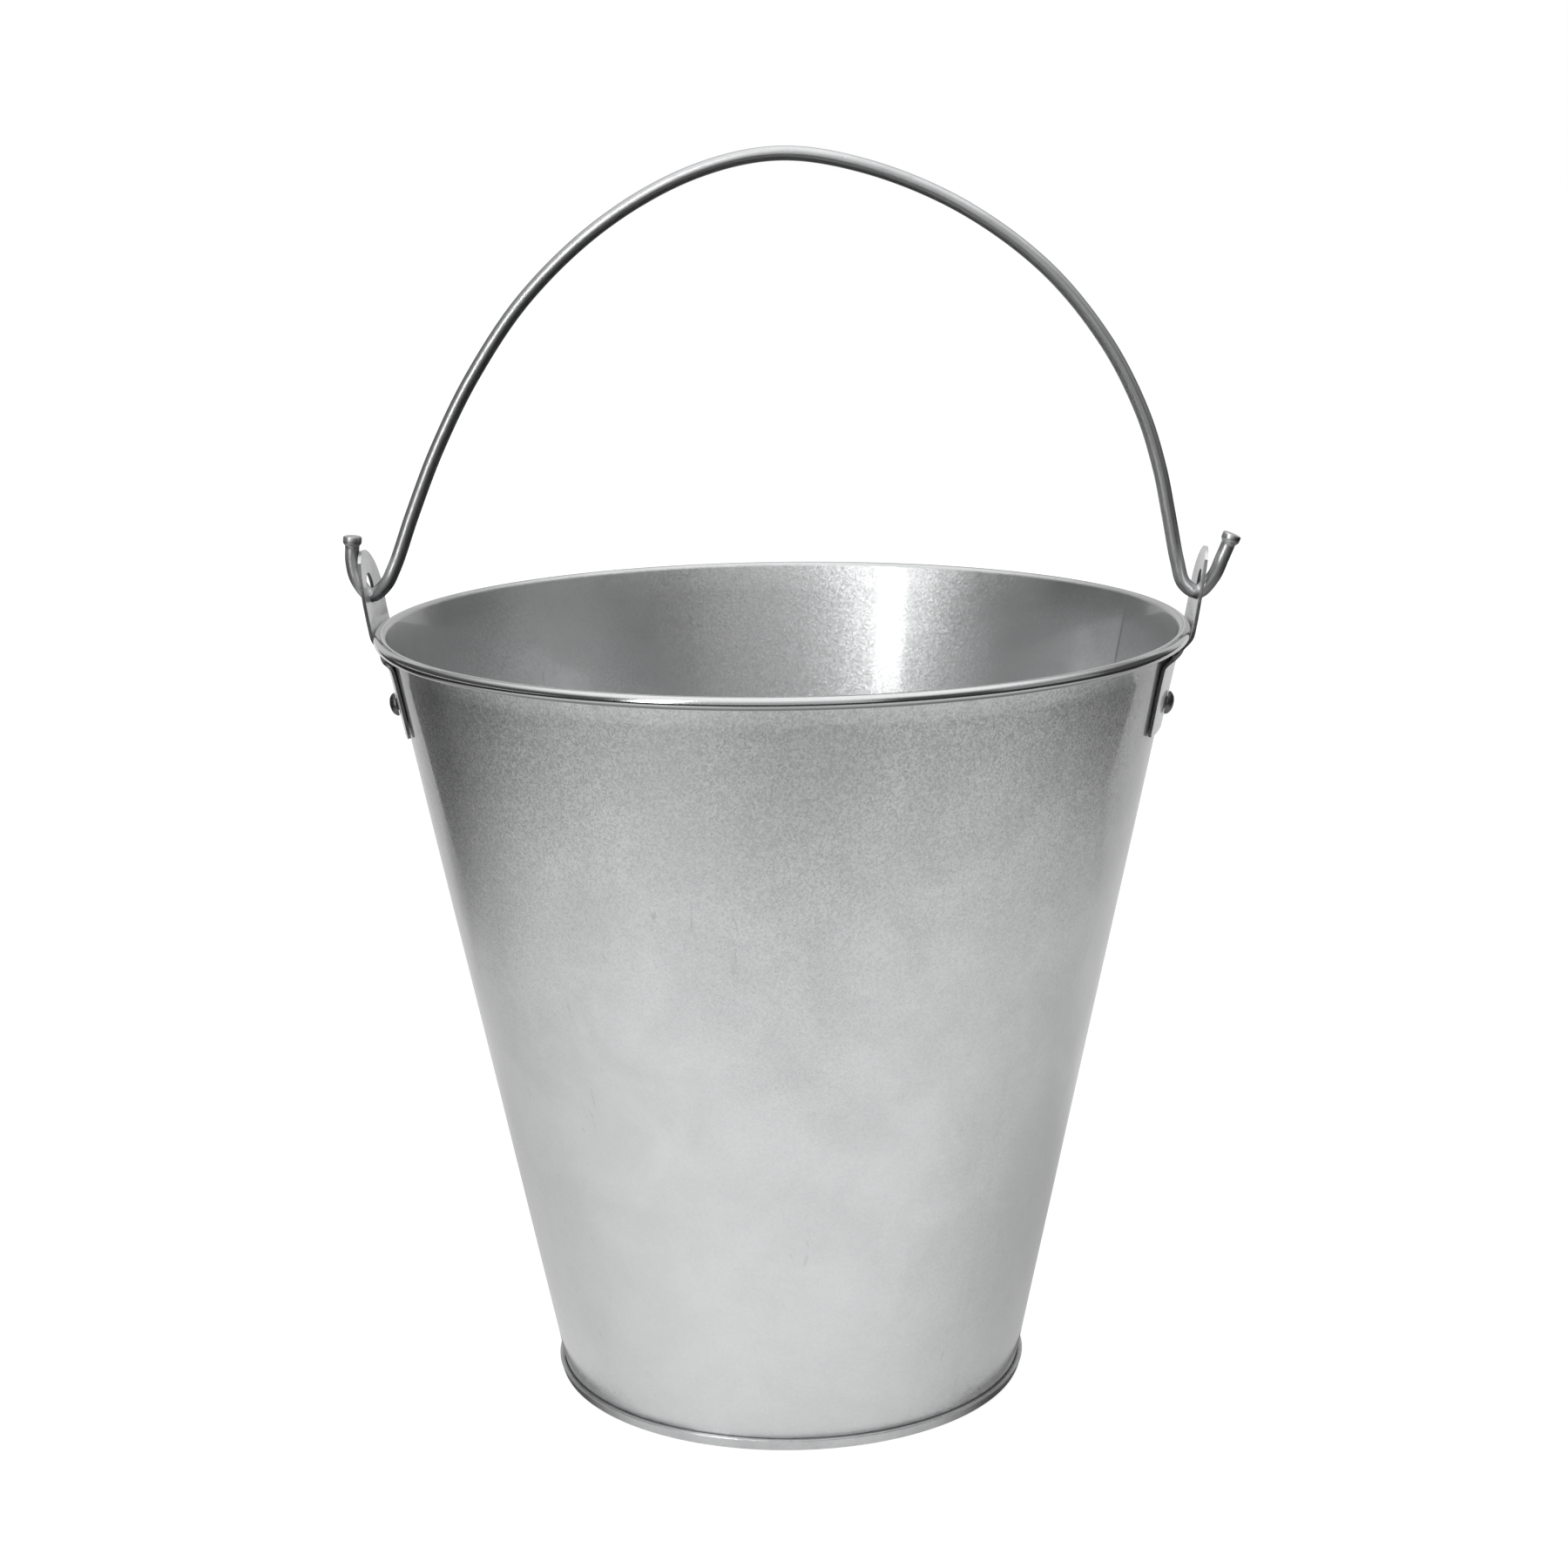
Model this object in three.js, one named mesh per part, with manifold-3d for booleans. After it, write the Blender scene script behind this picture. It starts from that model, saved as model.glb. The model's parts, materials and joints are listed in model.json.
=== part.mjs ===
// Florist bucket: a tapered sheet-metal flower pail with a bent-wire handle.
// Millimetres, +Z up. The origin is on the floor under the middle of the foot,
// and the two ears that carry the handle lie on the X axis.

import * as THREE from 'three';
import { mergeVertices } from 'three/addons/utils/BufferGeometryUtils.js';
import Module from 'manifold-3d';

const wasm = await Module();
wasm.setup();

// ---------------------------------------------------------------- driving dimensions

// Wall: a cone, given by its outside radius at two heights.
const wallLow = { radius: 73.3, height: 3.75 };
const wallHigh = { radius: 120.6, height: 237.5 };
const wallThickness = 0.4;

// Rolled rim: the wall's top edge curled outward over a wire.
const rimRadius = 125;
const rimHeight = 241.4;
const beadRadius = 1.93;
const flareHeight = 233.4;    // above this the wall leans out a little more to meet the bead
const curlStartDegrees = 165; // where the curl leaves the wall, round the bead's own centre
const curlEndDegrees = -130;
const curlSteps = 10;
const rimWireRadius = 1.25;

// Double seam at the foot, as layers of sheet folded round each other.
const panThickness = 0.35;
const seamGap = 0.08;
const seamHeight = 3.9;
const seamSpread = 0.09;      // share by which the folded layers stand off more, per mm of height
const panelHeight = 5.8;      // middle of the recessed bottom sheet above the floor
const panelCornerRadius = 1.4;

// Ears: a wide plate riveted on under the bead, with a round-topped lug standing above it.
const earThickness = 1;
const earGap = 0.3;           // running clear of the wall and the bead
const plateFoot = { halfWidth: 36.2, height: 211.5 };
const plateTop = { halfWidth: 38.5, height: 235.2 };
const plateCornerRadius = 2.5;
const lugHalfWidth = 15;
const lugTop = 263.8;
const lugFilletRadius = 2.5;
const earBendStart = 233.4;   // the plate leaves the wall here to pass outside the bead
const earBendEnd = { radius: 125.55, height: 237.4 };
const earUpperLow = { radius: 126.1, height: 239.4 };
const earUpperHigh = { radius: 129.9, height: 266 };
const earHoleRadius = 4.75;

// Rivets, two to an ear and square to the wall.
const rivetSpreadDegrees = 10.5; // each side of the ear's middle, round the bucket
const rivetHeight = 220;
const rivetShankRadius = 1.8;
const rivetHoleRadius = 2.1;
const rivetHeadRadius = 3.6;
const rivetHeadHeight = 2.2;
const rivetTailRadius = 3;
const rivetTailHeight = 1.1;

// Handle: one wire, hand bent, so its two sides are not quite alike.
const handleWireRadius = 2.2;
const handlePivotHeight = 249.8;
const handleEndRadius = 2.9;
const handleEndHeight = 2.8;
// Centreline points as [distance out from the middle, height], from the wire's upset end,
// round under the ear's hole and up the inside of the ear.
const leftHook = [
  [132.5, 265.5], [132.7, 260.5], [131.4, 254.6], [127.3, 249.8], [122.8, 252.9],
  [119.6, 258.7], [113.4, 275],
];
const rightHook = [
  [136.4, 265], [134.5, 260.4], [131.9, 254.5], [127.3, 249.8], [123, 252.4],
  [120.8, 259.5], [118, 273.7],
];
// The arch between the hooks as [x, height], from the left to the right.
const handleArch = [
  [-105, 295], [-93, 317.5], [-76, 341], [-52, 362.5], [-25, 377], [0, 382.3],
  [25, 378.7], [54, 367], [80, 348.3], [98.5, 326], [109.5, 305], [115, 288],
];

// Facets round the bucket; the ears' finer ones fall on the wall's.
const roundSegments = 72;
const earRoundSegments = 144;
const wireSides = 8;
const handleSteps = 150;

// ---------------------------------------------------------------- worked-out dimensions

const wallSlope = (wallHigh.radius - wallLow.radius) / (wallHigh.height - wallLow.height);
const wallAngle = Math.atan(wallSlope);
const beadCentre = { radius: rimRadius - beadRadius, height: rimHeight - beadRadius };
const earHoleHeight = handlePivotHeight - handleWireRadius - earGap + earHoleRadius;

const wallRadiusAt = (height) => wallLow.radius + (height - wallLow.height) * wallSlope;

// Point in a section through the axis, given by how far it lies outside the wall's face.
const wallPoint = (outward, height) => new THREE.Vector2(
  wallRadiusAt(height) + outward / Math.cos(wallAngle), height);

// The same in the seam, whose outer layers spread a little from their fold upward.
const seamPoint = (outward, height) => wallPoint(
  outward > 0 ? outward * (1 + seamSpread * height) : outward, height);

// ---------------------------------------------------------------- materials

const metal = (color, roughness, metalness = 0.9) => new THREE.MeshStandardMaterial({
  color, roughness, metalness,
});
const sheetMetal = () => metal(0xb9bbbd, 0.38);
const earMetal = () => metal(0xa9abad, 0.4);
const rivetMetal = () => metal(0x6f7173, 0.45);
const wireMetal = () => metal(0x8d8f91, 0.35);

// ---------------------------------------------------------------- geometry helpers

// Outline of a bent sheet: its centreline moved half a thickness to the right, then back
// along the left.
function sheetOutline(centreline, thickness) {
  const left = [];
  const right = [];
  const last = centreline.length - 1;
  centreline.forEach((point, i) => {
    const from = centreline[Math.max(i - 1, 0)];
    const to = centreline[Math.min(i + 1, last)];
    const arriving = (i > 0 ? point.clone().sub(from) : to.clone().sub(point)).normalize();
    const leaving = (i < last ? to.clone().sub(point) : arriving.clone()).normalize();
    const side = new THREE.Vector2(-arriving.y - leaving.y, arriving.x + leaving.x).normalize();
    const reach = thickness / 2 / side.dot(new THREE.Vector2(-arriving.y, arriving.x));
    left.unshift(point.clone().addScaledVector(side, reach));
    right.push(point.clone().addScaledVector(side, -reach));
  });
  return [...right, ...left];
}

// Ring turned from a closed outline of [radius, height] points.
function turnedRing(outline, segments) {
  const closed = outline.at(0).equals(outline.at(-1)) ? outline : [...outline, outline[0]];
  return turned(closed, segments);
}

// Body turned about Z, from an outline that starts and ends on the axis or closes on itself.
function turned(outline, segments) {
  return new THREE.LatheGeometry(outline, segments).rotateX(Math.PI / 2);
}

// Solid for joining and cutting, with shared corners merged and collapsed facets dropped.
function solid(geometry) {
  const bare = geometry.clone();
  bare.deleteAttribute('normal');
  bare.deleteAttribute('uv');
  const merged = mergeVertices(bare, 1e-5);
  const corners = merged.index.array;
  const kept = [];
  for (let i = 0; i < corners.length; i += 3) {
    const [a, b, c] = corners.slice(i, i + 3);
    if (a !== b && b !== c && c !== a) kept.push(a, b, c);
  }
  return new wasm.Manifold(new wasm.Mesh({
    numProp: 3,
    vertProperties: new Float32Array(merged.attributes.position.array),
    triVerts: new Uint32Array(kept),
  }));
}

function geometryOf(manifold) {
  const mesh = manifold.getMesh();
  const geometry = new THREE.BufferGeometry();
  geometry.setAttribute('position', new THREE.BufferAttribute(mesh.vertProperties, 3));
  geometry.setIndex(new THREE.BufferAttribute(mesh.triVerts, 1));
  geometry.computeVertexNormals();
  return geometry;
}

function namedMesh(name, geometry, material) {
  const mesh = new THREE.Mesh(geometry, material);
  mesh.name = name;
  return mesh;
}

// Moves a part made along Z at the origin to a rivet's place: local +Z points outward,
// square to the wall, and the origin goes to the wall's outer face.
function rivetPlacement(azimuthDegrees) {
  const tilt = new THREE.Matrix4().makeRotationY(Math.PI / 2 + wallAngle);
  const out = new THREE.Matrix4().makeTranslation(wallRadiusAt(rivetHeight), 0, rivetHeight);
  const around = new THREE.Matrix4().makeRotationZ(THREE.MathUtils.degToRad(azimuthDegrees));
  return around.multiply(out).multiply(tilt);
}

// Cylinder that clears a rivet's shank through the wall and the ear.
function rivetHoleCutter(azimuthDegrees) {
  const length = 12;
  return solid(new THREE.CylinderGeometry(rivetHoleRadius, rivetHoleRadius, length, 20)
    .rotateX(Math.PI / 2)
    .applyMatrix4(rivetPlacement(azimuthDegrees)));
}

// ---------------------------------------------------------------- bucket body

function bodyCentreline() {
  const seamMiddle = seamGap + panThickness / 2;
  const wallMiddle = -wallThickness / 2;
  const foldRadius = seamMiddle - wallMiddle;
  const hookMiddle = seamMiddle + foldRadius;
  const foldHeight = panThickness + seamGap + wallThickness / 2 + foldRadius;
  const hookTop = seamHeight - panThickness - seamGap - 0.4;

  const points = [seamPoint(hookMiddle, hookTop)];
  const foldSteps = 4;
  for (let i = 0; i <= foldSteps; i++) {
    const angle = -Math.PI * (i / foldSteps);
    points.push(seamPoint(
      seamMiddle + foldRadius * Math.cos(angle), foldHeight + foldRadius * Math.sin(angle)));
  }
  points.push(wallPoint(wallMiddle, flareHeight));

  const curlRadius = beadRadius - wallThickness / 2;
  const curlSpan = curlEndDegrees - curlStartDegrees;
  for (let i = 0; i <= curlSteps; i++) {
    const angle = THREE.MathUtils.degToRad(curlStartDegrees + curlSpan * (i / curlSteps));
    points.push(new THREE.Vector2(
      beadCentre.radius + curlRadius * Math.cos(angle),
      beadCentre.height + curlRadius * Math.sin(angle)));
  }
  return points;
}

function bucketBody() {
  let shell = solid(turnedRing(sheetOutline(bodyCentreline(), wallThickness), roundSegments));
  for (const ear of [0, 180]) {
    shell = shell.subtract(rivetHoleCutter(ear - rivetSpreadDegrees));
    shell = shell.subtract(rivetHoleCutter(ear + rivetSpreadDegrees));
  }
  return namedMesh('bucket_body', geometryOf(shell), sheetMetal());
}

// ---------------------------------------------------------------- rim wire

function rimWire() {
  const ring = new THREE.TorusGeometry(
    beadCentre.radius, rimWireRadius, wireSides, roundSegments);
  const mesh = namedMesh('rim_wire', ring, wireMetal());
  mesh.position.z = beadCentre.height;
  return mesh;
}

// ---------------------------------------------------------------- bottom sheet

// From the middle of the recessed panel, down inside the wall, under its fold with a flat
// foot to stand on, up outside, and over into the wall's own hook.
function panCentreline() {
  const seamMiddle = seamGap + panThickness / 2;
  const insideWall = -wallThickness - seamGap - panThickness / 2;
  const reach = seamMiddle - insideWall;
  const outsideHook = seamMiddle + reach;
  const footHeight = panThickness / 2;
  const foldHeight = footHeight + reach;
  const topFoldRadius = (outsideHook - seamMiddle) / 2;
  const topFoldHeight = seamHeight - panThickness / 2 - topFoldRadius;
  const hookFoot = footHeight + 2 * panThickness + wallThickness;
  const flatHalf = 0.55 * reach;
  const cornerOut = 0.88 * reach;
  const cornerDrop = 0.6 * reach;

  const panelEdge = wallPoint(insideWall, panelHeight).x - panelCornerRadius;
  const points = [
    new THREE.Vector2(0, panelHeight),
    new THREE.Vector2(panelEdge, panelHeight),
    wallPoint(insideWall - 0.3 * panelCornerRadius, panelHeight - 0.3 * panelCornerRadius),
    wallPoint(insideWall, panelHeight - panelCornerRadius),
    wallPoint(insideWall, foldHeight),
    seamPoint(seamMiddle - cornerOut, foldHeight - cornerDrop),
    seamPoint(seamMiddle - flatHalf, footHeight),
    seamPoint(seamMiddle + flatHalf, footHeight),
    seamPoint(seamMiddle + cornerOut, foldHeight - cornerDrop),
    seamPoint(outsideHook, foldHeight),
  ];
  const foldSteps = 4;
  for (let i = 0; i <= foldSteps; i++) {
    const angle = Math.PI * (i / foldSteps);
    points.push(seamPoint(
      seamMiddle + topFoldRadius * (1 + Math.cos(angle)),
      topFoldHeight + topFoldRadius * Math.sin(angle)));
  }
  points.push(seamPoint(seamMiddle, hookFoot));
  return points;
}

function basePan() {
  const pan = solid(turned(sheetOutline(panCentreline(), panThickness), roundSegments));
  return namedMesh('base_pan', geometryOf(pan), sheetMetal());
}

// ---------------------------------------------------------------- ears

// Section of an ear: flat on the wall, out past the bead, then up beyond the rim.
function earCentreline() {
  const onWall = earGap + earThickness / 2;
  const below = wallPoint(onWall, plateFoot.height - 5);
  const bendLow = wallPoint(onWall, earBendStart);
  const bendHigh = new THREE.Vector2(earBendEnd.radius, earBendEnd.height);
  const bendMiddle = bendLow.clone().lerp(bendHigh, 0.5);
  return [
    below,
    wallPoint(onWall, earBendStart - 1.2),
    bendLow.lerp(bendMiddle, 0.25),
    bendHigh.lerp(bendMiddle, 0.3),
    new THREE.Vector2(earUpperLow.radius, earUpperLow.height),
    new THREE.Vector2(earUpperHigh.radius, earUpperHigh.height),
  ];
}

// Face of an ear seen from its side of the bucket, as [y, z], with the hole for the wire.
function earFace() {
  const corner = plateCornerRadius;
  const half = new THREE.Path();
  half.moveTo(0, plateFoot.height);
  half.lineTo(plateFoot.halfWidth - corner, plateFoot.height);
  half.quadraticCurveTo(
    plateFoot.halfWidth, plateFoot.height, plateFoot.halfWidth, plateFoot.height + corner);
  half.lineTo(plateTop.halfWidth, plateTop.height - corner);
  half.quadraticCurveTo(
    plateTop.halfWidth, plateTop.height, plateTop.halfWidth - corner, plateTop.height);
  half.lineTo(lugHalfWidth + lugFilletRadius, plateTop.height);
  half.quadraticCurveTo(
    lugHalfWidth, plateTop.height, lugHalfWidth, plateTop.height + lugFilletRadius);
  half.absarc(0, lugTop - lugHalfWidth, lugHalfWidth, 0, Math.PI / 2);

  const points = half.getPoints(8);
  const mirrored = points.slice(1, -1).reverse().map(({ x, y }) => new THREE.Vector2(-x, y));
  const face = new THREE.Shape([...points, ...mirrored]);
  const hole = new THREE.Path();
  hole.absarc(0, earHoleHeight, earHoleRadius, 0, Math.PI * 2, true);
  face.holes.push(hole);
  return face;
}

function earGeometry() {
  const band = turnedRing(sheetOutline(earCentreline(), earThickness), earRoundSegments);
  const yAxis = new THREE.Vector3(0, 1, 0);
  const zAxis = new THREE.Vector3(0, 0, 1);
  const xAxis = new THREE.Vector3(1, 0, 0);
  const punch = new THREE.ExtrudeGeometry(earFace(), {
    depth: rimRadius * 1.2,
    bevelEnabled: false,
    curveSegments: 8,
  }).applyMatrix4(new THREE.Matrix4().makeBasis(yAxis, zAxis, xAxis));
  const blank = solid(band).intersect(solid(punch));
  return geometryOf(blank
    .subtract(rivetHoleCutter(-rivetSpreadDegrees))
    .subtract(rivetHoleCutter(rivetSpreadDegrees)));
}

function ears() {
  const right = namedMesh('ear_right', earGeometry(), earMetal());
  const left = namedMesh('ear_left', earGeometry(), earMetal());
  left.rotation.z = Math.PI;
  return [right, left];
}

// ---------------------------------------------------------------- rivets

// Round head outside the ear, shank through ear and wall, flattened tail inside.
function rivetOutline() {
  const headFoot = earThickness + 2 * earGap;
  const tailTop = -wallThickness - earGap;
  const outline = [
    new THREE.Vector2(0, tailTop - rivetTailHeight),
    new THREE.Vector2(rivetTailRadius - 0.4, tailTop - rivetTailHeight),
    new THREE.Vector2(rivetTailRadius, tailTop - rivetTailHeight + 0.4),
    new THREE.Vector2(rivetTailRadius, tailTop),
    new THREE.Vector2(rivetShankRadius, tailTop),
    new THREE.Vector2(rivetShankRadius, headFoot),
  ];
  const headSteps = 5;
  for (let i = 0; i <= headSteps; i++) {
    const angle = (Math.PI / 2) * (i / headSteps);
    const radius = i === headSteps ? 0 : rivetHeadRadius * Math.cos(angle);
    outline.push(new THREE.Vector2(radius, headFoot + rivetHeadHeight * Math.sin(angle)));
  }
  return outline;
}

function rivet(name, azimuthDegrees) {
  const body = turned(rivetOutline(), 20).applyMatrix4(rivetPlacement(azimuthDegrees));
  return namedMesh(name, geometryOf(solid(body)), rivetMetal());
}

function rivets() {
  return [
    rivet('rivet_right_front', -rivetSpreadDegrees),
    rivet('rivet_right_back', rivetSpreadDegrees),
    rivet('rivet_left_front', 180 + rivetSpreadDegrees),
    rivet('rivet_left_back', 180 - rivetSpreadDegrees),
  ];
}

// ---------------------------------------------------------------- handle

function handleCurve() {
  const left = leftHook.map(([out, height]) => new THREE.Vector3(-out, 0, height));
  const arch = handleArch.map(([x, height]) => new THREE.Vector3(x, 0, height));
  const right = rightHook.map(([out, height]) => new THREE.Vector3(out, 0, height));
  const curve = new THREE.CatmullRomCurve3(
    [...left, ...arch, ...right.reverse()], false, 'centripetal');
  curve.arcLengthDivisions = 1200;
  return curve;
}

function wireSection() {
  const corners = [];
  for (let i = 0; i < wireSides; i++) {
    const angle = (2 * Math.PI * i) / wireSides;
    corners.push(new THREE.Vector2(
      handleWireRadius * Math.cos(angle), handleWireRadius * Math.sin(angle)));
  }
  return new THREE.Shape(corners);
}

// Upset end of the wire: a small button square to the wire, pointing along the direction.
function upsetEnd(position, direction) {
  const edge = 0.35;
  const outline = [
    new THREE.Vector2(0, -edge),
    new THREE.Vector2(handleWireRadius, -edge),
    new THREE.Vector2(handleEndRadius, edge),
    new THREE.Vector2(handleEndRadius, handleEndHeight - edge),
    new THREE.Vector2(handleEndRadius - edge, handleEndHeight),
    new THREE.Vector2(0, handleEndHeight),
  ];
  const turn = new THREE.Quaternion().setFromUnitVectors(new THREE.Vector3(0, 0, 1), direction);
  return turned(outline, 16).applyQuaternion(turn).translate(...position);
}

function bailHandle() {
  const curve = handleCurve();
  const wire = new THREE.ExtrudeGeometry(wireSection(), {
    steps: handleSteps,
    extrudePath: curve,
  });
  const leftEnd = upsetEnd(curve.getPoint(0), curve.getTangent(0).negate());
  const rightEnd = upsetEnd(curve.getPoint(1), curve.getTangent(1));
  const handle = solid(wire).add(solid(leftEnd)).add(solid(rightEnd));
  return namedMesh('bail_handle', geometryOf(handle), wireMetal());
}

// ---------------------------------------------------------------- assembly

const bucket = new THREE.Group();
bucket.add(bucketBody(), rimWire(), basePan(), ...ears(), ...rivets(), bailHandle());

export default bucket;
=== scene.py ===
"""Looks of the florist bucket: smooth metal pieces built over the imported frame, and the studio."""

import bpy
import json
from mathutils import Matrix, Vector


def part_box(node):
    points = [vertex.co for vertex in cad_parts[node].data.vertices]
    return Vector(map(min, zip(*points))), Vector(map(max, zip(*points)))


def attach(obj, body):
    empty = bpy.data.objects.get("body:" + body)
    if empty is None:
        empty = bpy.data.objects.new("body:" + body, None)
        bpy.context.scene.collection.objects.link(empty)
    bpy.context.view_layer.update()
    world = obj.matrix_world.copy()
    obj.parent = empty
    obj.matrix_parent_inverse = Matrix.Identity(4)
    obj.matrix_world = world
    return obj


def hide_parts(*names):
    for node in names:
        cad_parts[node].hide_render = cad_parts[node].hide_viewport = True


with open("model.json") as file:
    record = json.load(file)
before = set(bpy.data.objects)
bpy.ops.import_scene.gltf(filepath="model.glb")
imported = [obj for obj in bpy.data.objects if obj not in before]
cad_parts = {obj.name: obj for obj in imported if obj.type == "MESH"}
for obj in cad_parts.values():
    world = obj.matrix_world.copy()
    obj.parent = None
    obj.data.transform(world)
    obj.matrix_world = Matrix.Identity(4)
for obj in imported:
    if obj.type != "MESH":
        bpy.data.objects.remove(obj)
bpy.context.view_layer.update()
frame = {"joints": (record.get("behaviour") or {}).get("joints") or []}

import json
import math

import bmesh
import bpy
import numpy as np
from mathutils import Matrix, Vector, noise

MM = 0.001


# ---------------------------------------------------------------- dimensions, in millimetres

def node_box(name):
    """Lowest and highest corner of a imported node, in millimetres."""
    low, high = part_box(name)
    return [v / MM for v in low], [v / MM for v in high]


_, body_high = node_box("bucket_body")
wire_low, wire_high = node_box("rim_wire")
_, pan_high = node_box("base_pan")
ear_low, ear_high = node_box("ear_right")
pivot_height = next(j for j in frame["joints"] if j["name"] == "bail_swing")["pos_m"][2] / MM

# Places are [radius, height], or [across, height] on the ears and the handle.
wall_thickness = 0.4
wall_low = (73.3, 3.75)
wall_high = (120.6, 237.5)
wall_slope = (wall_high[0] - wall_low[0]) / (wall_high[1] - wall_low[1])
wall_angle = math.atan(wall_slope)

bead_radius = 1.93
bead_centre = (body_high[1] - bead_radius, body_high[2] - bead_radius)
flare_height = 233.4
tuck_height = 237            # where the bead's edge closes on the wall
rim_wire_radius = (wire_high[2] - wire_low[2]) / 2
curl_start, curl_end = 165, -130     # degrees round the bead, from the wall to the sheet's edge

pan_thickness = 0.35
seam_gap = 0.08
seam_height = 3.9
seam_spread = 0.09
hook_clearance = 0.4
panel_height = pan_high[2] - pan_thickness / 2
panel_corner = 1.4

bail_radius = 2.2

ear_thickness = 1.0
ear_gap = 0.3
plate_foot = (36.2, ear_low[2])
plate_top = (38.5, 235.2)
plate_corner = 2.5
lug_half = 15
lug_top = ear_high[2]
lug_fillet = 2.5
ear_bend_start = 233.4
ear_bend_end = (125.55, 237.4)
ear_upper = ((126.1, 239.4), (129.9, 266))
ear_hole_radius = 4.75
ear_hole_height = pivot_height - bail_radius - ear_gap + ear_hole_radius

rivet_spread = 10.5          # degrees from the middle of the ear
rivet_height = 220
rivet_shank = 1.8
rivet_head = (3.6, 2.2)
rivet_tail = (3.0, 1.1)

bail_end = (2.9, 2.8)
left_hook = [(132.5, 265.5), (132.7, 260.5), (131.4, 254.6), (127.3, 249.8), (122.8, 252.9),
             (119.6, 258.7), (113.4, 275)]
right_hook = [(136.4, 265), (134.5, 260.4), (131.9, 254.5), (127.3, 249.8), (123, 252.4),
              (120.8, 259.5), (118, 273.7)]
bail_arch = [(-105, 295), (-93, 317.5), (-76, 341), (-52, 362.5), (-25, 377), (0, 382.3),
             (25, 378.7), (54, 367), (80, 348.3), (98.5, 326), (109.5, 305), (115, 288)]


def wall_radius(height):
    """Outer radius of the wall."""
    return wall_low[0] + (height - wall_low[1]) * wall_slope


def wall_point(outward, height):
    """Point at a height, so far out from the wall's outer face."""
    return (wall_radius(height) + outward / math.cos(wall_angle), height)


def seam_point(outward, height):
    """The same in the foot seam, whose outer layers lean out a little more with height."""
    spread = 1 + seam_spread * height if outward > 0 else 1
    return wall_point(outward * spread, height)


# ---------------------------------------------------------------- mesh helpers

def make_object(name, verts, faces, material, body, smooth_angle=38):
    """Object from millimetre points, with faces out, shaded smooth below an angle."""
    mesh = bpy.data.meshes.new(name)
    mesh.from_pydata([(x * MM, y * MM, z * MM) for x, y, z in verts], [], faces)
    return finish_object(name, mesh, material, body, smooth_angle)


def finish_object(name, mesh, material, body, smooth_angle=38):
    """Object from a mesh in metres, cleaned, with its material and body."""
    work = bmesh.new()
    work.from_mesh(mesh)
    bmesh.ops.remove_doubles(work, verts=work.verts, dist=1e-7)
    bmesh.ops.recalc_face_normals(work, faces=work.faces)
    work.to_mesh(mesh)
    work.free()
    mesh.polygons.foreach_set("use_smooth", [True] * len(mesh.polygons))
    mesh.set_sharp_from_angle(angle=math.radians(smooth_angle))
    obj = bpy.data.objects.new(name, mesh)
    bpy.context.scene.collection.objects.link(obj)
    mesh.materials.append(material)
    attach(obj, body)
    return obj


def sheet_outline(centreline, thickness):
    """Closed outline of a bent sheet from its centreline."""
    points = [Vector(p) for p in centreline]
    left, right = [], []
    for i, point in enumerate(points):
        arriving = point - points[i - 1] if i else points[1] - point
        leaving = points[i + 1] - point if i + 1 < len(points) else arriving
        arriving, leaving = arriving.normalized(), leaving.normalized()
        side = Vector((-arriving.y - leaving.y, arriving.x + leaving.x)).normalized()
        reach = thickness / 2 / side.dot(Vector((-arriving.y, arriving.x)))
        left.insert(0, point + side * reach)
        right.append(point - side * reach)
    return [tuple(p) for p in right + left]


def resample(points, step):
    """Extra points along the long straight stretches of a line."""
    out = [points[0]]
    for a, b in zip(points, points[1:]):
        a, b = Vector(a), Vector(b)
        pieces = max(1, round((b - a).length / step))
        out += [tuple(a.lerp(b, i / pieces)) for i in range(1, pieces + 1)]
    return out


def lathe(profile, azimuths, shape=None):
    """Points and faces of a closed profile turned about Z; shape moves a point [r, z, angle]."""
    verts, faces = [], []
    rows = len(profile)
    for angle in azimuths:
        for radius, height in profile:
            if shape:
                radius, height = shape(radius, height, angle)
            verts.append((radius * math.cos(angle), radius * math.sin(angle), height))
    turns = len(azimuths)
    for t in range(turns):
        n = (t + 1) % turns
        for i in range(rows):
            j = (i + 1) % rows
            faces.append((t * rows + i, n * rows + i, n * rows + j, t * rows + j))
    return verts, faces


def turned_solid(profile, segments):
    """Points and faces of a solid of revolution about Z whose profile starts and ends at r=0."""
    verts = [(0, 0, profile[0][1])]
    inner = profile[1:-1]
    for s in range(segments):
        angle = 2 * math.pi * s / segments
        verts += [(r * math.cos(angle), r * math.sin(angle), z) for r, z in inner]
    verts.append((0, 0, profile[-1][1]))
    rows, top = len(inner), len(verts) - 1
    faces = []
    for s in range(segments):
        a, b = 1 + s * rows, 1 + ((s + 1) % segments) * rows
        faces.append((0, b, a))
        faces += [(a + i, b + i, b + i + 1, a + i + 1) for i in range(rows - 1)]
        faces.append((a + rows - 1, b + rows - 1, top))
    return verts, faces


def even_turn(segments):
    """Angles of even steps round a full turn."""
    return [2 * math.pi * s / segments for s in range(segments)]


def smooth_step(value, low, high):
    t = min(max((value - low) / (high - low), 0), 1)
    return t * t * (3 - 2 * t)


# ---------------------------------------------------------------- materials

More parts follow.
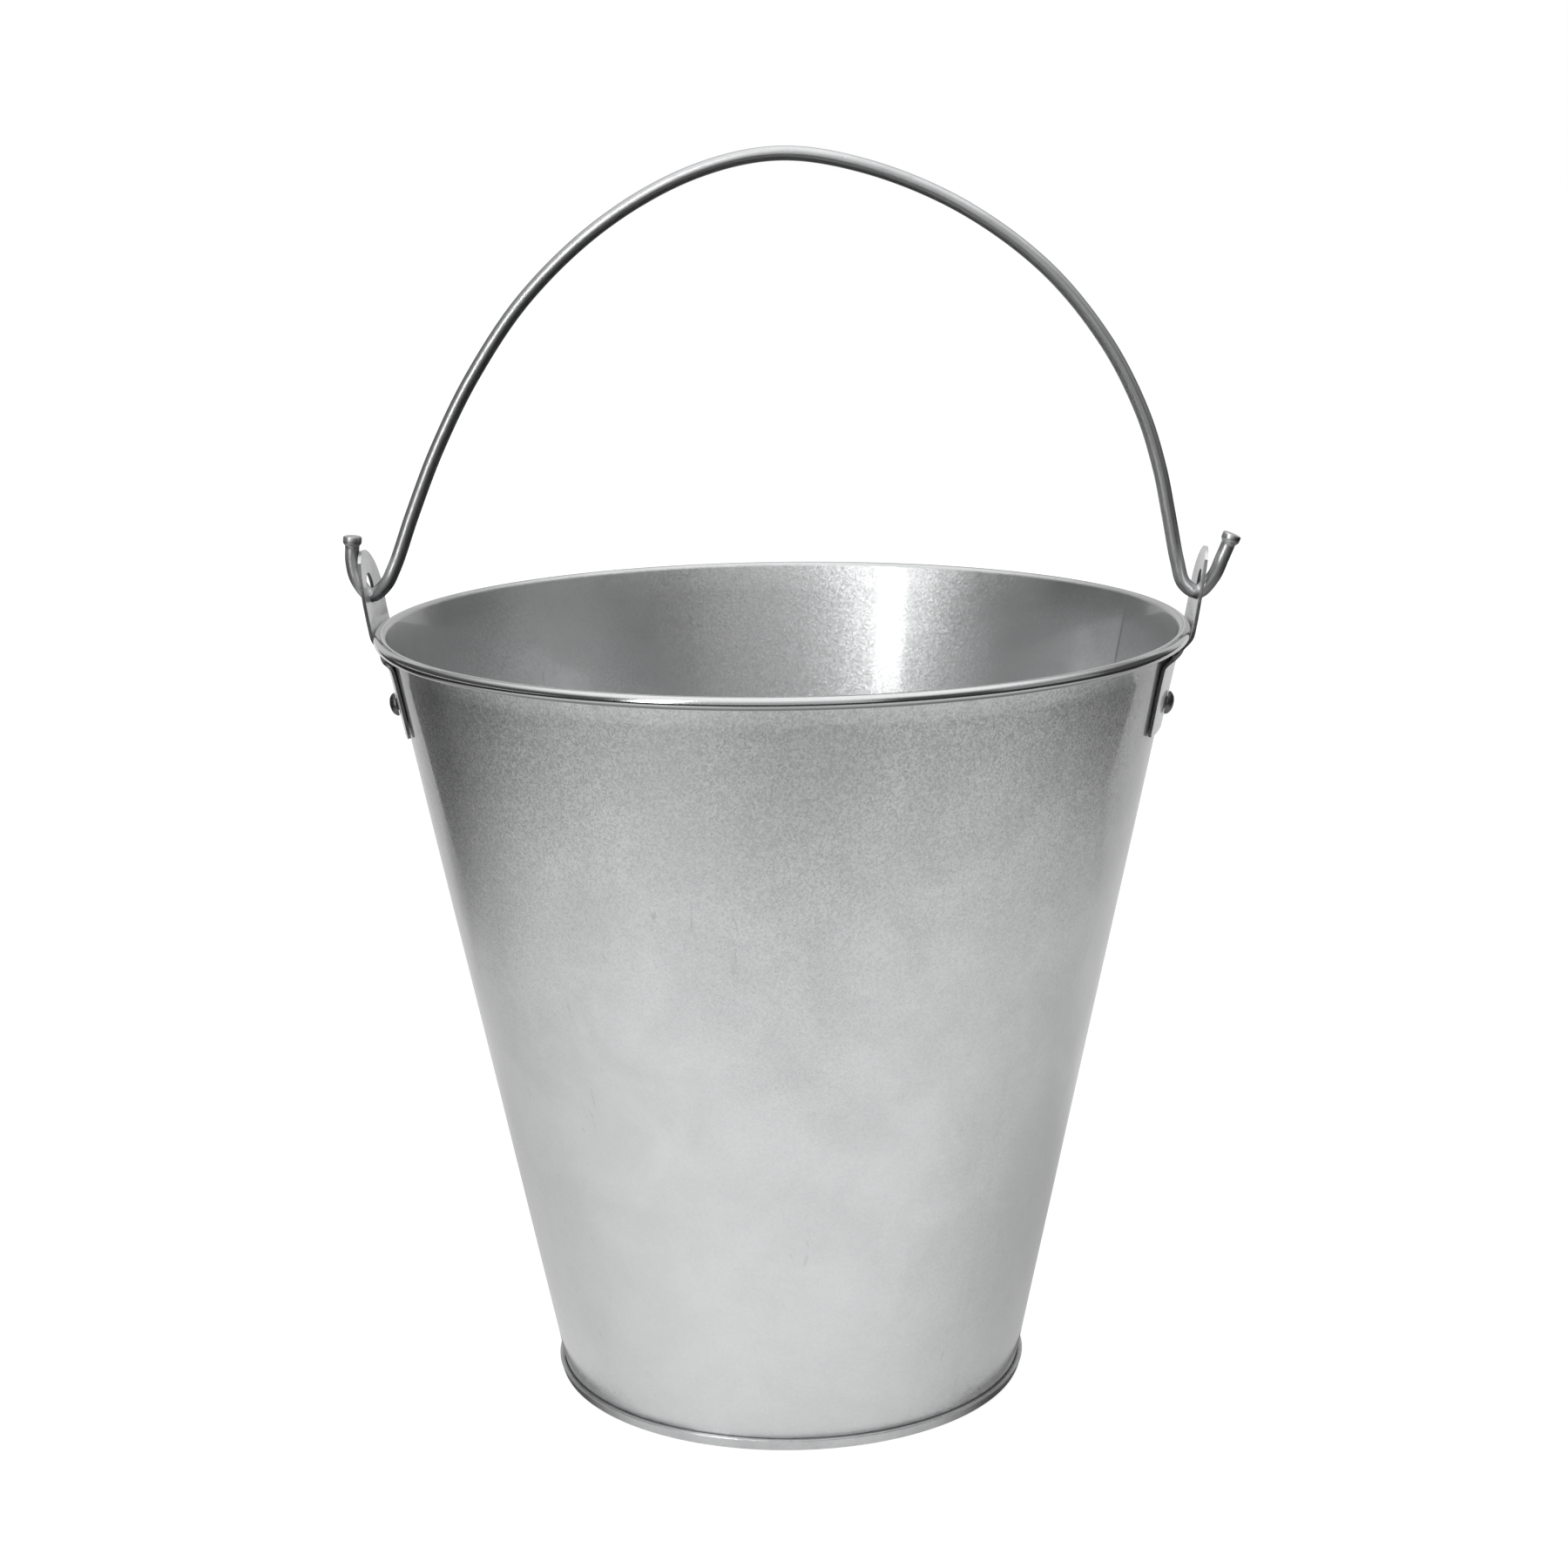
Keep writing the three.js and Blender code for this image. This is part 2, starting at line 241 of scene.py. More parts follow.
class Nodes:
    """Short-hand for building a node tree."""

    def __init__(self, tree):
        self.tree = tree

    def add(self, kind, **settings):
        node = self.tree.nodes.new(kind)
        for key, value in settings.items():
            if key == "inputs":
                for socket, given in value.items():
                    self.feed(node.inputs[socket], given)
            else:
                setattr(node, key, value)
        return node

    def feed(self, socket, given):
        if isinstance(given, bpy.types.NodeSocket):
            self.tree.links.new(given, socket)
        else:
            socket.default_value = given

    def math(self, operation, a, b=0.0, clamp=False):
        node = self.add("ShaderNodeMath", operation=operation, use_clamp=clamp)
        self.feed(node.inputs[0], a)
        self.feed(node.inputs[1], b)
        return node.outputs[0]

    def ramp(self, value, low, high, out_low=0.0, out_high=1.0, smooth=True):
        kind = "SMOOTHSTEP" if smooth else "LINEAR"
        node = self.add("ShaderNodeMapRange", interpolation_type=kind)
        self.feed(node.inputs["Value"], value)
        for socket, given in (("From Min", low), ("From Max", high),
                              ("To Min", out_low), ("To Max", out_high)):
            self.feed(node.inputs[socket], given)
        return node.outputs["Result"]

    def noise(self, vector, scale, detail=3.0, roughness=0.5, distortion=0.0):
        node = self.add("ShaderNodeTexNoise")
        self.feed(node.inputs["Vector"], vector)
        for socket, given in (("Scale", scale), ("Detail", detail),
                              ("Roughness", roughness), ("Distortion", distortion)):
            self.feed(node.inputs[socket], given)
        return node.outputs["Fac"]

    def stretched(self, vector, scale):
        node = self.add("ShaderNodeMapping")
        self.feed(node.inputs["Vector"], vector)
        node.inputs["Scale"].default_value = scale
        return node.outputs[0]

    def length(self, x, y):
        squares = self.math("ADD", self.math("POWER", x, 2.0), self.math("POWER", y, 2.0))
        return self.math("SQRT", squares)

    def axes(self, vector):
        return self.add("ShaderNodeSeparateXYZ", inputs={"Vector": vector}).outputs

    def vector(self, operation, a, b=(0, 0, 0), result="Vector"):
        node = self.add("ShaderNodeVectorMath", operation=operation)
        self.feed(node.inputs[0], a)
        self.feed(node.inputs[1], b)
        return node.outputs[result]

    def scaled(self, vector, factor):
        node = self.add("ShaderNodeVectorMath", operation="SCALE")
        self.feed(node.inputs[0], vector)
        self.feed(node.inputs["Scale"], factor)
        return node.outputs[0]

    def bump(self, height, strength, depth_mm):
        node = self.add("ShaderNodeBump")
        for socket, given in (("Height", height), ("Strength", strength),
                              ("Distance", depth_mm * MM)):
            self.feed(node.inputs[socket], given)
        return node

    def mix_color(self, amount, a, b):
        node = self.add("ShaderNodeMix", data_type="RGBA")
        self.feed(node.inputs["Factor"], amount)
        self.feed(node.inputs[6], a)
        self.feed(node.inputs[7], b)
        return node.outputs[2]


# Near-black for painted shade, in the tuck under the bead and on the handle's shaded side.
painted_shade_black = (0.07, 0.07, 0.072, 1)
dust = (0.2, 0.19, 0.18, 1)


def dark_share(n, cloud, blotch, flakes, mottle):
    """How far the zinc goes to its darker tone: in clouds, in blotches and flake by flake."""
    flake = n.add("ShaderNodeSeparateColor", inputs={"Color": flakes}).outputs[0]
    share = n.math("MULTIPLY", n.ramp(cloud, 0.3, 0.7), mottle)
    share = n.math("ADD", share, n.math("MULTIPLY", n.ramp(blotch, 0.35, 0.7), 0.3 * mottle))
    return n.math("ADD", share, n.math("MULTIPLY", flake, 0.22), clamp=True)


def rubbed_marks(n, place, scuff):
    """Sparse short upright strokes, in patches."""
    strokes = n.noise(n.stretched(place, (420, 420, 26)), 1, 3, 0.6, 0.8)
    patches = n.ramp(n.noise(place, 23, 2, 0.5), 0.52, 0.68)
    return n.math("MULTIPLY", n.math("MULTIPLY", n.ramp(strokes, 0.62, 0.74), patches), scuff)


def floor_dirt(n, place, top):
    """Blotchy dirt that fades out upward, to nothing at the height top."""
    low = n.ramp(n.axes(place)["Z"], (top - 5) * MM, top * MM, 1, 0)
    dirt = n.math("MULTIPLY", low, n.ramp(n.noise(place, 300, 5, 0.65), 0.38, 0.62))
    return n.math("MULTIPLY", dirt, 0.6)


def bead_masks(n, place):
    """The rolled bead, and the tuck between its underside and the wall, which gets painted shade."""
    axes = n.axes(place)
    around = n.length(axes["X"], axes["Y"])

    def between(value, low, high, start=0.0, end=1.0):
        return n.ramp(value, low * MM, high * MM, start, end)

    radius, height = bead_centre
    bead = between(around, radius - 0.9, radius - 0.3)
    bead = n.math("MULTIPLY", bead, between(axes["Z"], tuck_height - 0.4, tuck_height + 0.4))
    tuck = between(axes["Z"], height - 1.3, height - 0.1, 1, 0)
    tuck = n.math("MULTIPLY", tuck, between(axes["Z"], tuck_height - 0.6, tuck_height + 0.6))
    tuck = n.math("MULTIPLY", tuck, between(around, radius - 1.4, radius - 1.0))
    return bead, tuck


def painted_shade_facing(n, side):
    """Painted shade on the faces that turn to one side of the piece."""
    normal = n.add("ShaderNodeTexCoord").outputs["Normal"]
    return n.ramp(n.vector("DOT_PRODUCT", normal, side, "Value"), 0.05, 0.6, 0, 0.85)


def flaky_normal(n, flakes, blotch, grain, relief, flake_tilt):
    """Each flake leans its own way, over a fine uneven surface."""
    lean = n.scaled(n.vector("SUBTRACT", flakes, (0.5, 0.5, 0.5)),
                    n.math("MULTIPLY", relief, flake_tilt))
    uneven = n.bump(blotch, n.math("MULTIPLY", relief, 0.35), 0.05)
    fine = n.bump(grain, n.math("MULTIPLY", relief, 0.25), 0.012)
    n.feed(fine.inputs["Normal"], uneven.outputs[0])
    return n.vector("NORMALIZE", n.vector("ADD", fine.outputs[0], lean))


def metal(name, tone, dark_tone, roughness, coat, flake_mm, flake_tilt, mottle=0.5,
          grime_below=None, rolled_bead=False, shaded_side=None, metallic=1.0, scuff=0.25,
          relief=1.0):
    """Zinc-coated metal: mottled tone, tilted flakes, fine grain, scuffs and a clear coat."""
    material = bpy.data.materials.new(name)
    material.use_nodes = True
    n = Nodes(material.node_tree)
    place = n.add("ShaderNodeTexCoord").outputs["Object"]
    cloud = n.noise(place, 42, 5, 0.6, 0.4)
    blotch = n.noise(place, 160, 4, 0.55)
    grain = n.noise(place, 1600, 2, 0.6)
    flakes = n.add("ShaderNodeTexVoronoi", inputs={
        "Vector": place, "Scale": 1 / (flake_mm * MM)}).outputs["Color"]

    share = dark_share(n, cloud, blotch, flakes, mottle)
    color = n.mix_color(share, (*tone, 1), (*dark_tone, 1))
    marks = rubbed_marks(n, place, scuff)
    color = n.mix_color(marks, color, (*[0.72 * v for v in dark_tone], 1))
    rough = n.ramp(cloud, 0.25, 0.75, roughness - 0.05, roughness + 0.06, smooth=False)
    rough = n.math("ADD", rough, n.math("MULTIPLY", grain, 0.08))
    rough = n.math("ADD", rough, n.math("MULTIPLY", marks, 0.5), clamp=True)

    if grime_below is not None:
        dirt = floor_dirt(n, place, grime_below)
        color = n.mix_color(dirt, color, dust)
        rough = n.math("ADD", rough, n.math("MULTIPLY", dirt, 0.3), clamp=True)

    if rolled_bead:
        # Rolling burnishes the bead, and painted shade darkens the tuck under it.
        bead, tuck = bead_masks(n, place)
        relief = n.ramp(bead, 0, 1, relief, 0.15)
        burnish = n.math("MULTIPLY", bead, 0.72)
        rough = n.math("ADD", n.math("MULTIPLY", rough, n.math("SUBTRACT", 1.0, burnish)),
                       n.math("MULTIPLY", burnish, 0.05))
        color = n.mix_color(n.math("MULTIPLY", tuck, 0.9), color, painted_shade_black)

    # Painted shade: faces turned to this side go near-black, fixed to the piece so it turns with it.
    if shaded_side is not None:
        color = n.mix_color(painted_shade_facing(n, shaded_side), color, painted_shade_black)

    shader = material.node_tree.nodes["Principled BSDF"]
    shader.inputs["Metallic"].default_value = metallic
    shader.inputs["Coat Weight"].default_value = coat
    shader.inputs["Coat Roughness"].default_value = 0.06
    shader.inputs["Coat IOR"].default_value = 1.5
    n.feed(shader.inputs["Base Color"], color)
    n.feed(shader.inputs["Roughness"], rough)
    n.feed(shader.inputs["Normal"], flaky_normal(n, flakes, blotch, grain, relief, flake_tilt))

    # Clear coat: long, very shallow orange peel.
    peel = n.bump(n.noise(place, 120, 2, 0.5), n.math("MULTIPLY", relief, 0.3), 0.04)
    n.feed(shader.inputs["Coat Normal"], peel.outputs[0])
    return material


sheet_metal = metal(
    "galvanised_sheet", (0.70, 0.705, 0.71), (0.56, 0.565, 0.57), roughness=0.37, coat=1.0,
    flake_mm=0.5, flake_tilt=0.11, mottle=0.2, rolled_bead=True)
foot_metal = metal(
    "galvanised_foot", (0.62, 0.625, 0.63), (0.44, 0.445, 0.45), roughness=0.3, coat=0.6,
    flake_mm=0.6, flake_tilt=0.12, mottle=0.5, scuff=0.5, grime_below=2.2)
ear_metal = metal(
    "ear_plate", (0.86, 0.865, 0.87), (0.66, 0.665, 0.67), roughness=0.34, coat=0.8,
    flake_mm=0.5, flake_tilt=0.1, mottle=0.5, scuff=0.5, metallic=0.7)
# Cut edges: darker bare steel, made darker still as painted shade.
cut_edge_and_shade_metal = metal(
    "ear_cut_edge_shaded", (0.24, 0.24, 0.245), (0.13, 0.13, 0.132), roughness=0.42, coat=0.1,
    flake_mm=0.5, flake_tilt=0.12, mottle=0.8, scuff=0.6)
rivet_metal = metal(
    "rivet_steel", (0.2, 0.2, 0.205), (0.1, 0.1, 0.103), roughness=0.36, coat=0.15,
    flake_mm=0.6, flake_tilt=0.14, mottle=0.8, scuff=0.6)
hidden_wire_metal = metal(
    "rim_wire_steel", (0.5, 0.5, 0.505), (0.36, 0.36, 0.365), roughness=0.4, coat=0.0,
    flake_mm=0.5, flake_tilt=0.1, mottle=0.6)
# The handle's lower inner side carries painted shade.
bail_metal = metal(
    "handle_wire", (0.74, 0.745, 0.75), (0.55, 0.555, 0.56), roughness=0.33, coat=0.05,
    flake_mm=0.5, flake_tilt=0.04, mottle=0.5, scuff=0.4, relief=0.35,
    shaded_side=(0.5, -0.1, -0.86))


# ---------------------------------------------------------------- bucket body

round_segments = 256
lap_azimuth = math.radians(27)    # lapped side seam of the wall, behind the right ear
lap_half_turn = 0.03              # half the lap's width, in radians
lap_edge = (-1.08, -0.93)         # its step, in half-widths from its middle
lap_height = 0.28
wave_depth = 0.16
wave_closeness = 1.7
straight_low = 6                  # the wall is straight from here up to the flare


def body_centreline():
    """Middle of the wall sheet, from its hook in the foot seam up and round the bead."""
    seam_middle = seam_gap + pan_thickness / 2
    wall_middle = -wall_thickness / 2
    fold = seam_middle - wall_middle
    hook_middle = seam_middle + fold
    fold_height = pan_thickness + seam_gap + wall_thickness / 2 + fold
    hook_top = seam_height - pan_thickness - seam_gap - hook_clearance
    points = [seam_point(hook_middle, hook_top)]
    for i in range(9):
        angle = -math.pi * i / 8
        points.append(seam_point(
            seam_middle + fold * math.cos(angle), fold_height + fold * math.sin(angle)))
    points += resample([wall_point(wall_middle, straight_low),
                        wall_point(wall_middle, flare_height - 2)], step=6)
    points.append(wall_point(wall_middle + 0.01, flare_height))
    curl = bead_radius - wall_thickness / 2
    steps = 34
    for i in range(steps + 1):
        angle = math.radians(curl_start + (curl_end - curl_start) * i / steps)
        points.append((bead_centre[0] + curl * math.cos(angle),
                       bead_centre[1] + curl * math.sin(angle)))
    return points


def body_azimuths():
    """Even steps, with closer ones across the lap."""
    even = [a for a in even_turn(round_segments) if abs(a - lap_azimuth) > 1.6 * lap_half_turn]
    across = [lap_azimuth + lap_half_turn * f
              for f in (-1.3, lap_edge[0], -1, lap_edge[1], -0.5, 0, 0.5, 0.93, 1.3)]
    return sorted(even + across)


def body_shape(radius, height, angle):
    """Slight waviness of the wall, none at the foot and the rim, and the lap of its side seam."""
    free = smooth_step(height, 8, 40) * (1 - smooth_step(height, 205, 232))
    place = Vector((math.cos(angle), math.sin(angle), height / 120)) * wave_closeness
    wave = noise.noise(place) * wave_depth * free
    across = (angle - lap_azimuth) / lap_half_turn
    lap = smooth_step(across, *lap_edge) * (1 - smooth_step(across, lap_edge[1], 1.3))
    lap *= smooth_step(height, 5, 9) * (1 - smooth_step(height, 230, 236))
    return radius + wave + lap * lap_height, height


def build_body():
    profile = sheet_outline(body_centreline(), wall_thickness)
    verts, faces = lathe(profile, body_azimuths(), body_shape)
    piece = make_object("bucket_shell", verts, faces, sheet_metal, "bucket")
    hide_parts("bucket_body")


# ---------------------------------------------------------------- rim wire and bottom sheet

def build_rim_wire():
    centre_z = (wire_low[2] + wire_high[2]) / 2
    centre_r = wire_high[0] - rim_wire_radius
    profile = [(centre_r + rim_wire_radius * math.cos(angle),
                centre_z + rim_wire_radius * math.sin(angle)) for angle in even_turn(20)]
    verts, faces = lathe(profile, even_turn(round_segments))
    piece = make_object("rim_core_wire", verts, faces, hidden_wire_metal, "bucket")
    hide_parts("rim_wire")


def pan_centreline():
    """Middle of the bottom sheet, from its centre down inside the foot and up round the seam."""
    seam_middle = seam_gap + pan_thickness / 2
    inside = -wall_thickness - seam_gap - pan_thickness / 2
    reach = seam_middle - inside
    outside = seam_middle + reach
    foot = pan_thickness / 2
    fold_height = foot + reach
    top_fold = (outside - seam_middle) / 2
    top_height = seam_height - pan_thickness / 2 - top_fold
    edge = wall_point(inside, panel_height)[0] - panel_corner
    points = resample([(0, panel_height), (edge, panel_height)], step=8)
    for i in range(1, 7):
        angle = math.pi / 2 * (1 - i / 6)
        points.append(wall_point(inside - panel_corner * (1 - math.cos(angle)),
                                 panel_height - panel_corner * (1 - math.sin(angle))))
    flat, corner_out, corner_drop = 0.55 * reach, 0.88 * reach, 0.6 * reach
    points += [
        wall_point(inside, fold_height),
        seam_point(seam_middle - corner_out, fold_height - corner_drop),
        seam_point(seam_middle - flat, foot),
        seam_point(seam_middle + flat, foot),
        seam_point(seam_middle + corner_out, fold_height - corner_drop),
        seam_point(outside, fold_height),
    ]
    for i in range(9):
        angle = math.pi * i / 8
        fullness = 0.35 if i > 4 else 1      # zinc fills the corner against the wall
        points.append(seam_point(seam_middle + top_fold * (1 + math.cos(angle)),
                                 top_height + top_fold * abs(math.sin(angle)) ** fullness))
    points.append(seam_point(seam_middle, foot + 2 * pan_thickness + wall_thickness))
    return points


def build_pan():
    verts, faces = turned_solid(sheet_outline(pan_centreline(), pan_thickness), round_segments)
    piece = make_object("foot_and_bottom", verts, faces, foot_metal, "bucket")
    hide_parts("base_pan")


# ---------------------------------------------------------------- ears

def rounded(points, passes=3):
    """Corners cut again and again, ends kept."""
    for _ in range(passes):
        out = [points[0]]
        for a, b in zip(points, points[1:]):
            a, b = Vector(a), Vector(b)
            out += [tuple(a.lerp(b, 0.25)), tuple(a.lerp(b, 0.75))]
        points = out + [points[-1]]
    return points


def ear_section():
    """Middle of the bent plate seen from its edge: on the wall, out over the bead, up."""
    on_wall = ear_gap + ear_thickness / 2
    bend_low = Vector(wall_point(on_wall, ear_bend_start))
    bend_high = Vector(ear_bend_end)
    middle = bend_low.lerp(bend_high, 0.5)
    return rounded([
        wall_point(on_wall, plate_foot[1] - 5),
        wall_point(on_wall, ear_bend_start - 1.2),
        tuple(bend_low.lerp(middle, 0.25)),
        tuple(bend_high.lerp(middle, 0.3)),
        ear_upper[0],
        ear_upper[1],
    ])


def arc(cx, cz, radius, start, end, steps):
    """Points of a circular arc between two angles in degrees."""
    angles = [math.radians(start + (end - start) * i / steps) for i in range(steps + 1)]
    return [(cx + radius * math.cos(a), cz + radius * math.sin(a)) for a in angles]


def curve_corner(start, corner, end, steps=6):
    """Points of a curve that rounds off a corner."""
    out = []
    for i in range(steps + 1):
        t = i / steps
        weights = ((1 - t) ** 2, 2 * t * (1 - t), t * t)
        out.append(tuple(sum(w * p[k] for w, p in zip(weights, (start, corner, end)))
                         for k in (0, 1)))
    return out


def ear_outline():
    """Face of an ear as [y, z], anticlockwise: wide plate, round-topped lug."""
    foot, top, corner, fillet = plate_foot, plate_top, plate_corner, lug_fillet
    half = curve_corner((foot[0] - corner, foot[1]), foot, (foot[0], foot[1] + corner))
    half += curve_corner((top[0], top[1] - corner), top, (top[0] - corner, top[1]))
    half += curve_corner((lug_half + fillet, top[1]), (lug_half, top[1]),
                         (lug_half, top[1] + fillet))
    half += arc(0, lug_top - lug_half, lug_half, 0, 90, 20)
    mirrored = [(-y, z) for y, z in reversed(half[:-1])]
    return half + mirrored


# Where the flat face is cut before it is bent: close together over the bead.
ear_rows = [*np.arange(216, 230, 4.0), *np.arange(229.5, 240.5, 0.75), *np.arange(244, 263, 4.0)]
ear_columns = np.arange(-36, 37, 2.0)


def section_normal(place, heights, radii):
    """Way out of the bent plate, square to its face, at a point given in metres."""
    height, reach = place.z / MM, 0.4
    lean = np.interp(height + reach, heights, radii) - np.interp(height - reach, heights, radii)
    out = Vector((place.x, place.y, 0)).normalized()
    return (out - Vector((0, 0, 1)) * float(lean) / (2 * reach)).normalized()


def flat_ear_face():
    """The ear's face with its hole, laid flat as [y, z], in rows and columns that can bend."""
    hole = arc(0, ear_hole_height, ear_hole_radius, 0, 360, 40)[:-1]
    work = bmesh.new()
    for loop in (ear_outline(), hole):
        verts = [work.verts.new((y, z, 0)) for y, z in loop]
        for a, b in zip(verts, verts[1:] + verts[:1]):
            work.edges.new((a, b))
    bmesh.ops.triangle_fill(work, use_beauty=True, use_dissolve=False, edges=work.edges[:])
    cuts = [((0, z, 0), (0, 1, 0)) for z in ear_rows]
    cuts += [((y, 0, 0), (1, 0, 0)) for y in ear_columns]
    for place, normal in cuts:
        everything = work.verts[:] + work.edges[:] + work.faces[:]
        bmesh.ops.bisect_plane(work, geom=everything, plane_co=place, plane_no=normal, dist=1e-4)
    return work


def as_plate(name, face_mesh):
    """Plate of the ear's thickness, with eased edges, from the mesh of its middle face."""
    work = bpy.data.objects.new(name + "_work", face_mesh)
    bpy.context.scene.collection.objects.link(work)
    thick = work.modifiers.new("thickness", "SOLIDIFY")
    thick.thickness = ear_thickness * MM
    thick.offset = 0
    thick.use_even_offset = True
    edge = work.modifiers.new("edges", "BEVEL")
    edge.width = 0.22 * MM
    edge.segments = 3
    edge.limit_method = "ANGLE"
    edge.angle_limit = math.radians(50)
    bpy.context.view_layer.update()
    plate = bpy.data.meshes.new_from_object(
        work.evaluated_get(bpy.context.evaluated_depsgraph_get()))
    bpy.data.objects.remove(work)
    bpy.data.meshes.remove(face_mesh)
    plate.name = name
    plate.materials.clear()
    return plate


def build_ear(node, half_turn):
    """Bent plate, bright on its faces and on edges facing up; its other cut edges are darker bare
    steel with painted shade.
    """
    section = ear_section()
    heights = [p[1] for p in section]
    radii = [p[0] for p in section]
    work = flat_ear_face()
    for v in work.verts:
        y, z = v.co.x, v.co.y
        radius = float(np.interp(z, heights, radii))
        v.co = (math.sqrt(radius * radius - y * y), y, z)
    work.normal_update()
    for v in work.verts:
        v.co *= MM
    name = node + "_plate"
    face_mesh = bpy.data.meshes.new(name)
    work.to_mesh(face_mesh)
    work.free()
    if half_turn:
        face_mesh.transform(Matrix.Rotation(math.pi, 4, "Z"))

    plate = as_plate(name, face_mesh)
    piece = finish_object(name, plate, ear_metal, "bucket")
    plate.materials.append(cut_edge_and_shade_metal)
    for face in plate.polygons:
        across = abs(section_normal(face.center, heights, radii) @ face.normal)
        # Painted shade: cut edges facing sideways or down take the dark material, those facing up
        # stay bright.
        face.material_index = int(across < 0.5 and face.normal.z < 0.8)
    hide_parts(node)


# ---------------------------------------------------------------- rivets

def rivet_matrix(azimuth):
    """Place of a rivet made along Z: square to the wall's outer face, its head outward."""
    tilt = Matrix.Rotation(math.pi / 2 + wall_angle, 4, "Y")
    out = Matrix.Translation((wall_radius(rivet_height), 0, rivet_height))
    return Matrix.Rotation(math.radians(azimuth), 4, "Z") @ out @ tilt


def rivet_profile(head_foot, tail_top):
    """Tail, shank and button head, as [r, z] from the axis round to the axis."""
    tail_radius, tail_height = rivet_tail
    head_radius, head_height = rivet_head
    brim = 0.12
    profile = [(0, tail_top - tail_height), (tail_radius * 0.5, tail_top - tail_height * 0.98),
               (tail_radius - 0.4, tail_top - tail_height * 0.9),
               (tail_radius - 0.08, tail_top - tail_height * 0.65),
               (tail_radius, tail_top - tail_height * 0.4), (tail_radius - 0.06, tail_top),
               (rivet_shank, tail_top), (rivet_shank, head_foot),
               (head_radius - brim, head_foot), (head_radius, head_foot + brim)]
    steps = 14
    for i in range(1, steps + 1):
        angle = math.pi / 2 * i / steps
        radius = head_radius * math.cos(angle) if i < steps else 0
        profile.append((radius, head_foot + brim + (head_height - brim) * math.sin(angle)))
    return profile


def build_rivet(node, azimuth, seed):
    """Hammered button head, shank and spread tail, a little uneven."""
    head_foot = ear_thickness + 2 * ear_gap
    tail_top = -wall_thickness - ear_gap
    verts, faces = turned_solid(rivet_profile(head_foot, tail_top), segments=40)
    place = rivet_matrix(azimuth)
    shaped = []
    for x, y, z in verts:
        if z > head_foot + 0.05 or z < tail_top - 0.05:
            dent = abs(noise.noise(Vector((x * 0.7, y * 0.7, z * 0.7 + seed * 9.7))))
            inward = -0.09 * dent * (1 if z > 0 else -1)
            x, y, z = x * (1 - 0.02 * dent), y * (1 - 0.02 * dent), z + inward
        shaped.append(tuple(place @ Vector((x, y, z))))
    piece = make_object(node + "_steel", shaped, faces, rivet_metal, "bucket")
    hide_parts(node)


# ---------------------------------------------------------------- handle

def centripetal(points, per_span):
    """Centripetal Catmull-Rom line through the points."""
    p = [np.array(q, float) for q in points]
    p = [2 * p[0] - p[1]] + p + [2 * p[-1] - p[-2]]
    out = []
    for i in range(len(p) - 3):
        a, b, c, d = p[i:i + 4]
        t1 = np.linalg.norm(b - a) ** 0.5
        t2 = t1 + np.linalg.norm(c - b) ** 0.5
        t3 = t2 + np.linalg.norm(d - c) ** 0.5
        for s in range(per_span):
            t = t1 + (t2 - t1) * s / per_span
            ab = a + (b - a) * t / t1
            bc = b + (c - b) * (t - t1) / (t2 - t1)
            cd = c + (d - c) * (t - t2) / (t3 - t2)
            abc = ab + (bc - ab) * t / t2
            bcd = bc + (cd - bc) * (t - t1) / (t3 - t1)
            out.append(abc + (bcd - abc) * (t - t1) / (t2 - t1))
    out.append(p[-2])
    return np.array(out)


def even_line(line, step):
    """The line again, with points at even steps along it."""
    lengths = np.concatenate([[0], np.cumsum(np.linalg.norm(np.diff(line, axis=0), axis=1))])
    count = int(lengths[-1] / step)
    at = np.linspace(0, lengths[-1], count + 1)
    return np.stack([np.interp(at, lengths, line[:, k]) for k in (0, 1)], axis=1)


def bail_rings():
    """Centre, direction and radius along the wire, each end upset into a small button."""
    points = [(-x, z) for x, z in left_hook] + bail_arch + list(reversed(right_hook))
    line = even_line(centripetal(points, per_span=40), step=1.1)
    ahead = np.gradient(line, axis=0)
    ahead /= np.linalg.norm(ahead, axis=1)[:, None]
    rings = [(line[i], ahead[i], bail_radius) for i in range(len(line))]
    end_radius, end_height = bail_end
    button = [(-0.3, bail_radius), (0.1, bail_radius + 0.25), (0.5, end_radius - 0.12),
              (0.9, end_radius), (end_height - 0.5, end_radius),
              (end_height - 0.15, end_radius - 0.18), (end_height, end_radius - 0.6),
              (end_height, end_radius * 0.35)]
    start = [(line[0] - ahead[0] * s, ahead[0], r) for s, r in reversed(button)]
    finish = [(line[-1] + ahead[-1] * s, ahead[-1], r) for s, r in button]
    return start + rings[1:-1] + finish


def wire_skin(rings, sides):
    """Points and faces of a round wire in the X-Z plane through the rings."""
    verts, faces = [], []
    for centre, direction, radius in rings:
        across = (-direction[1], direction[0])
        for k in range(sides):
            angle = 2 * math.pi * k / sides
            out, side = radius * math.cos(angle), radius * math.sin(angle)
            verts.append((centre[0] + across[0] * out, side, centre[1] + across[1] * out))
    for r in range(len(rings) - 1):
        for k in range(sides):
            m = (k + 1) % sides
            faces.append((r * sides + k, r * sides + m, (r + 1) * sides + m, (r + 1) * sides + k))
    last = (len(rings) - 1) * sides
    faces.append(tuple(range(sides)))
    faces.append(tuple(last + k for k in reversed(range(sides))))
    return verts, faces


def build_bail():
    verts, faces = wire_skin(bail_rings(), sides=28)
    piece = make_object("bail_wire", verts, faces, bail_metal, "bail")
    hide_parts("bail_handle")


# ---------------------------------------------------------------- studio

def emission(name, build):
    """Glowing material whose strength is made by build."""
    material = bpy.data.materials.new(name)
    material.use_nodes = True
    tree = material.node_tree
    tree.nodes.clear()
    n = Nodes(tree)
    shader = n.add("ShaderNodeEmission")
    n.feed(shader.inputs["Strength"], build(n))
    out = n.add("ShaderNodeOutputMaterial")
    tree.links.new(shader.outputs[0], out.inputs["Surface"])
    return material


